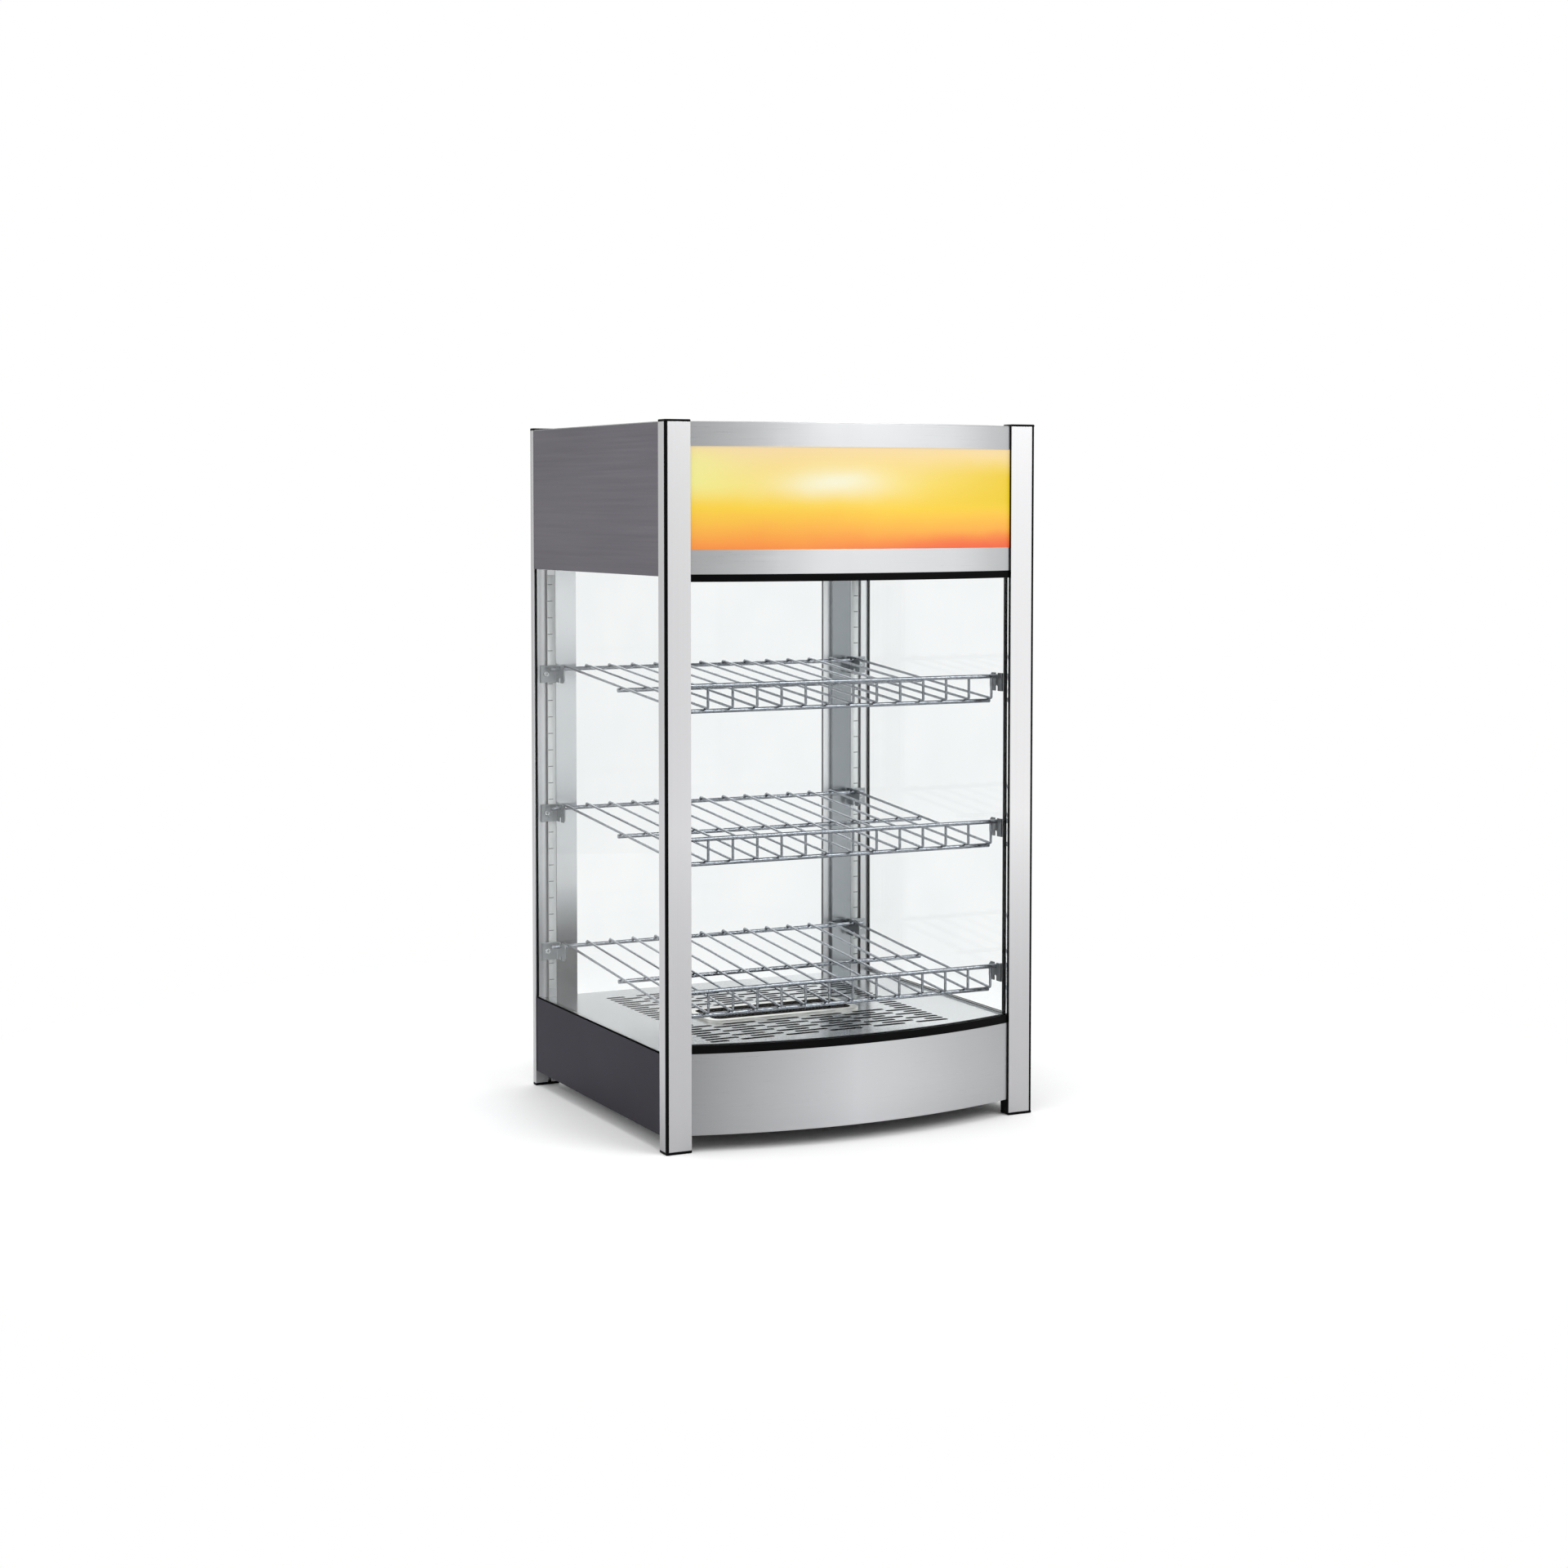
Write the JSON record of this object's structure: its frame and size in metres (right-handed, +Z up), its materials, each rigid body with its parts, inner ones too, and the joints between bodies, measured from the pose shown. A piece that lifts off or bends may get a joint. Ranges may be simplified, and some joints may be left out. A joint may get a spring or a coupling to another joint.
{
  "type": "heated display case",
  "caption": "Countertop heated display case with a bowed front, backlit header, sloping wire shelves on clamped brackets, a water tray and a hinged rear door.",
  "frame": {"origin": "middle of the overall box at its lowest level, under the foot caps", "axes": "+Z up, +Y to the back of the case, +X to the right as seen from the front"},
  "size_m": [0.462, 0.435, 0.796],
  "materials": {
    "post_aluminium": "satin anodised",
    "dark_steel": "brushed",
    "side_steel": "brushed",
    "front_steel": "brushed",
    "inner_steel": "polished",
    "black_plastic": "matt black",
    "black_rubber": "matt black",
    "clear_glass": "clear",
    "light_sheet": "translucent, lit from behind",
    "chrome_wire": "bright",
    "zinc_steel": "zinc plated",
    "tray_steel": "dark inside",
    "element_steel": "oxidised",
    "brass": "plain",
    "white_lamp": "frosted",
    "cream_plastic": "plain",
    "red_plastic": "translucent red",
    "magnet": "sintered"
  },
  "bodies": {
    "case": {"front_left_post": "post_aluminium", "front_right_post": "post_aluminium", "rear_left_post": "post_aluminium", "rear_right_post": "post_aluminium", "foot_caps": "black_plastic", "post_caps": "black_plastic", "corner_strips": "black_plastic", "front_channel_gaskets": "black_rubber", "base_front_panel": "front_steel", "base_left_panel": "dark_steel", "base_right_panel": "dark_steel", "control_panel": "front_steel", "base_bottom_plate": "inner_steel", "floor_plate": "inner_steel", "sill_trim": "black_plastic", "lintel_trim": "black_plastic", "front_glass": "clear_glass", "left_glass": "clear_glass", "right_glass": "clear_glass", "side_glass_seals": "black_rubber", "header_left_panel": "side_steel", "header_right_panel": "side_steel", "header_lower_strip": "front_steel", "header_upper_strip": "front_steel", "light_panel": "light_sheet", "header_cover": "front_steel", "ceiling_plate": "inner_steel", "lamp_tube": "white_lamp", "lamp_holders": "cream_plastic", "lamp_reflector": "inner_steel", "rear_left_jamb": "inner_steel", "rear_right_jamb": "inner_steel", "door_hinge_brackets": "zinc_steel", "door_magnet": "magnet", "heater_element": "element_steel", "heater_clips": "zinc_steel", "sensor_bulb": "brass", "thermostat_body": "cream_plastic", "switch_housings": "black_plastic", "cable_gland": "black_plastic", "terminal_block": "cream_plastic"},
    "door": {"door_glass": "clear_glass", "door_handle": "post_aluminium", "door_hinge_shoes": "zinc_steel", "door_strike": "zinc_steel"},
    "lower_brackets": {"lower_shelf_brackets": "zinc_steel", "lower_shelf_fixings": "zinc_steel"},
    "middle_brackets": {"middle_shelf_brackets": "zinc_steel", "middle_shelf_fixings": "zinc_steel"},
    "upper_brackets": {"upper_shelf_brackets": "zinc_steel", "upper_shelf_fixings": "zinc_steel"},
    "lower_rack": {"lower_shelf": "chrome_wire"},
    "middle_rack": {"middle_shelf": "chrome_wire"},
    "upper_rack": {"upper_shelf": "chrome_wire"},
    "tray": {"water_tray": "tray_steel"},
    "thermostat": {"thermostat_knob": "black_plastic", "thermostat_shaft": "zinc_steel"},
    "power_switch": {"power_rocker": "red_plastic"},
    "lamp_switch": {"lamp_rocker": "black_plastic"}
  },
  "joints": [
    {"name": "door_hinge", "type": "hinge", "parent": "case", "child": "door", "pos_m": [-0.19, 0.2121, 0.368], "axis": [0, 0, 1], "range_deg": [0, 110]},
    {"name": "lower_level", "type": "slide", "parent": "case", "child": "lower_brackets", "axis": [0, 0, 1], "range_m": [-0.02, 0.1]},
    {"name": "middle_level", "type": "slide", "parent": "case", "child": "middle_brackets", "axis": [0, 0, 1], "range_m": [-0.1, 0.1]},
    {"name": "upper_level", "type": "slide", "parent": "case", "child": "upper_brackets", "axis": [0, 0, 1], "range_m": [-0.1, 0.095]},
    {"name": "lower_rack_lift", "type": "slide", "parent": "lower_brackets", "child": "lower_rack", "axis": [0, 0, 1], "range_m": [0, 0.015]},
    {"name": "middle_rack_lift", "type": "slide", "parent": "middle_brackets", "child": "middle_rack", "axis": [0, 0, 1], "range_m": [0, 0.015]},
    {"name": "upper_rack_lift", "type": "slide", "parent": "upper_brackets", "child": "upper_rack", "axis": [0, 0, 1], "range_m": [0, 0.015]},
    {"name": "tray_lift", "type": "slide", "parent": "case", "child": "tray", "axis": [0, 0, 1], "range_m": [0, 0.022]},
    {"name": "thermostat_turn", "type": "hinge", "parent": "case", "child": "thermostat", "pos_m": [0.045, 0.2101, 0.0455], "axis": [0, 1, 0], "range_deg": [0, 270]},
    {"name": "power_rock", "type": "hinge", "parent": "case", "child": "power_switch", "pos_m": [0.105, 0.2036, 0.0455], "axis": [1, 0, 0], "range_deg": [-22, 0]},
    {"name": "lamp_rock", "type": "hinge", "parent": "case", "child": "lamp_switch", "pos_m": [0.135, 0.2036, 0.0455], "axis": [1, 0, 0], "range_deg": [-22, 0]}
  ]
}
